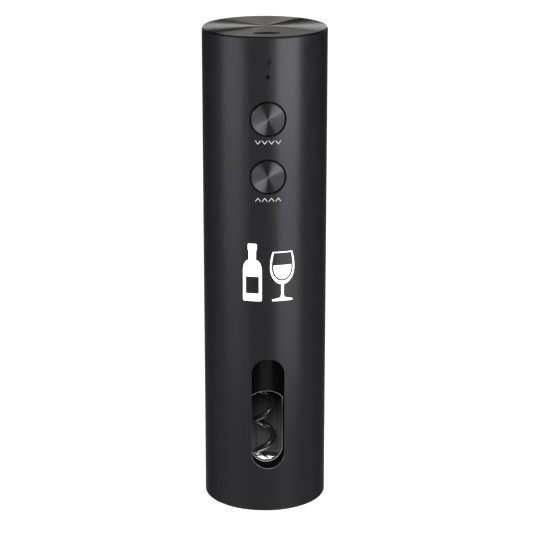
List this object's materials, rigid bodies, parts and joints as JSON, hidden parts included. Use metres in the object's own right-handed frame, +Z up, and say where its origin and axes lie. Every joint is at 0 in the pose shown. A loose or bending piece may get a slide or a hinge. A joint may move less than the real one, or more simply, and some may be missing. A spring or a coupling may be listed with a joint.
{
  "type": "electric wine opener",
  "caption": "Cordless electric wine opener: dark aluminium tube with a viewing window, push buttons, a geared motor and a turning corkscrew worm over the bottle collar",
  "frame": {"origin": "middle of the base, on the surface that the opener stands on", "axes": "+Z up along the tube, -Y the front with buttons and window, +X to the right seen from the front"},
  "size_m": [0.06, 0.06, 0.236],
  "materials": {
    "anodised_tube": "satin black anodised",
    "spun_metal": "spun, dark anodised",
    "black_plastic": "fine moulded texture",
    "gloss_black_plastic": "glossy",
    "frame_plastic": "moulded",
    "polished_steel": "polished",
    "coated_steel": "non-stick coating",
    "bright_steel": "machined",
    "screw_steel": "zinc black",
    "sintered_bronze": "sintered",
    "brass": "turned",
    "ferrite": "sintered",
    "gear_nylon": "moulded",
    "circuit_board": "solder mask",
    "chip_resin": "moulded",
    "battery_wrap": "shrink film",
    "clear_plastic": "clear moulded"
  },
  "bodies": {
    "housing": {"outer_tube": "anodised_tube", "top_cap": "spun_metal", "cap_carrier": "black_plastic", "base_ring": "black_plastic", "bottle_collar": "polished_steel", "cork_sleeve": "gloss_black_plastic", "sleeve_screws": "screw_steel", "output_bushing": "sintered_bronze", "gearbox_cover": "bright_steel", "ring_gear_case": "black_plastic", "motor_plate": "bright_steel", "gearbox_screws": "screw_steel", "motor_can": "bright_steel", "motor_end_bell": "frame_plastic", "motor_terminals": "brass", "motor_magnets": "ferrite", "motor_screws": "screw_steel", "button_frame": "frame_plastic", "main_board": "circuit_board", "switch_bodies": "chip_resin", "status_led": "clear_plastic", "light_pipe": "clear_plastic", "board_chips": "chip_resin", "usb_shell": "bright_steel", "usb_tongue": "chip_resin", "battery_cell": "battery_wrap", "battery_tabs": "bright_steel", "chassis_right": "frame_plastic", "chassis_left": "frame_plastic", "chassis_screws": "screw_steel", "cap_screws": "screw_steel", "release_button_spring": "bright_steel", "extract_button_spring": "bright_steel"},
    "worm_assembly": {"worm": "coated_steel", "worm_hub": "black_plastic", "hub_set_screw": "screw_steel", "thrust_washer": "brass", "output_shaft": "bright_steel", "output_carrier": "bright_steel", "output_planet_pins": "bright_steel"},
    "stage1": {"stage1_carrier": "gear_nylon", "stage2_sun": "bright_steel", "stage1_planet_pins": "bright_steel"},
    "rotor": {"motor_shaft": "bright_steel", "motor_rotor": "ferrite", "motor_pinion": "brass"},
    "release_button": {"release_button_face": "spun_metal", "release_button_body": "black_plastic", "release_switch_plunger": "chip_resin"},
    "extract_button": {"extract_button_face": "spun_metal", "extract_button_body": "black_plastic", "extract_switch_plunger": "chip_resin"},
    "planet_1a": {"stage1_planet_a": "gear_nylon"},
    "planet_1b": {"stage1_planet_b": "gear_nylon"},
    "planet_1c": {"stage1_planet_c": "gear_nylon"},
    "planet_2a": {"stage2_planet_a": "bright_steel"},
    "planet_2b": {"stage2_planet_b": "bright_steel"},
    "planet_2c": {"stage2_planet_c": "bright_steel"}
  },
  "joints": [
    {"name": "worm_spin", "type": "hinge", "parent": "housing", "child": "worm_assembly", "pos_m": [0, 0, 0.09], "axis": [0, 0, 1], "continuous": true},
    {"name": "stage1_spin", "type": "hinge", "parent": "housing", "child": "stage1", "pos_m": [0, 0, 0.117], "axis": [0, 0, 1], "continuous": true},
    {"name": "rotor_spin", "type": "hinge", "parent": "housing", "child": "rotor", "pos_m": [0, 0, 0.145], "axis": [0, 0, 1], "continuous": true},
    {"name": "planet_1a_spin", "type": "hinge", "parent": "stage1", "child": "planet_1a", "pos_m": [0, 0.0105, 0.1219], "axis": [0, 0, 1], "continuous": true},
    {"name": "planet_1b_spin", "type": "hinge", "parent": "stage1", "child": "planet_1b", "pos_m": [-0.00909, -0.00525, 0.1219], "axis": [0, 0, 1], "continuous": true},
    {"name": "planet_1c_spin", "type": "hinge", "parent": "stage1", "child": "planet_1c", "pos_m": [0.00909, -0.00525, 0.1219], "axis": [0, 0, 1], "continuous": true},
    {"name": "planet_2a_spin", "type": "hinge", "parent": "worm_assembly", "child": "planet_2a", "pos_m": [0, 0.0105, 0.111], "axis": [0, 0, 1], "continuous": true},
    {"name": "planet_2b_spin", "type": "hinge", "parent": "worm_assembly", "child": "planet_2b", "pos_m": [-0.00909, -0.00525, 0.111], "axis": [0, 0, 1], "continuous": true},
    {"name": "planet_2c_spin", "type": "hinge", "parent": "worm_assembly", "child": "planet_2c", "pos_m": [0.00909, -0.00525, 0.111], "axis": [0, 0, 1], "continuous": true},
    {"name": "release_press", "type": "slide", "parent": "housing", "child": "release_button", "axis": [0, 1, 0], "range_m": [0, 0.0006], "stiffness_N_per_m": 900, "springref_m": -0.001, "deforming": ["release_button_spring"]},
    {"name": "extract_press", "type": "slide", "parent": "housing", "child": "extract_button", "axis": [0, 1, 0], "range_m": [0, 0.0006], "stiffness_N_per_m": 900, "springref_m": -0.001, "deforming": ["extract_button_spring"]}
  ],
  "couplings": [
    {"joint": "stage1_spin", "follows": "worm_spin", "ratio": 5},
    {"joint": "rotor_spin", "follows": "worm_spin", "ratio": 25},
    {"joint": "planet_1a_spin", "follows": "worm_spin", "ratio": -13.333},
    {"joint": "planet_1b_spin", "follows": "worm_spin", "ratio": -13.333},
    {"joint": "planet_1c_spin", "follows": "worm_spin", "ratio": -13.333},
    {"joint": "planet_2a_spin", "follows": "worm_spin", "ratio": -2.6667},
    {"joint": "planet_2b_spin", "follows": "worm_spin", "ratio": -2.6667},
    {"joint": "planet_2c_spin", "follows": "worm_spin", "ratio": -2.6667}
  ]
}
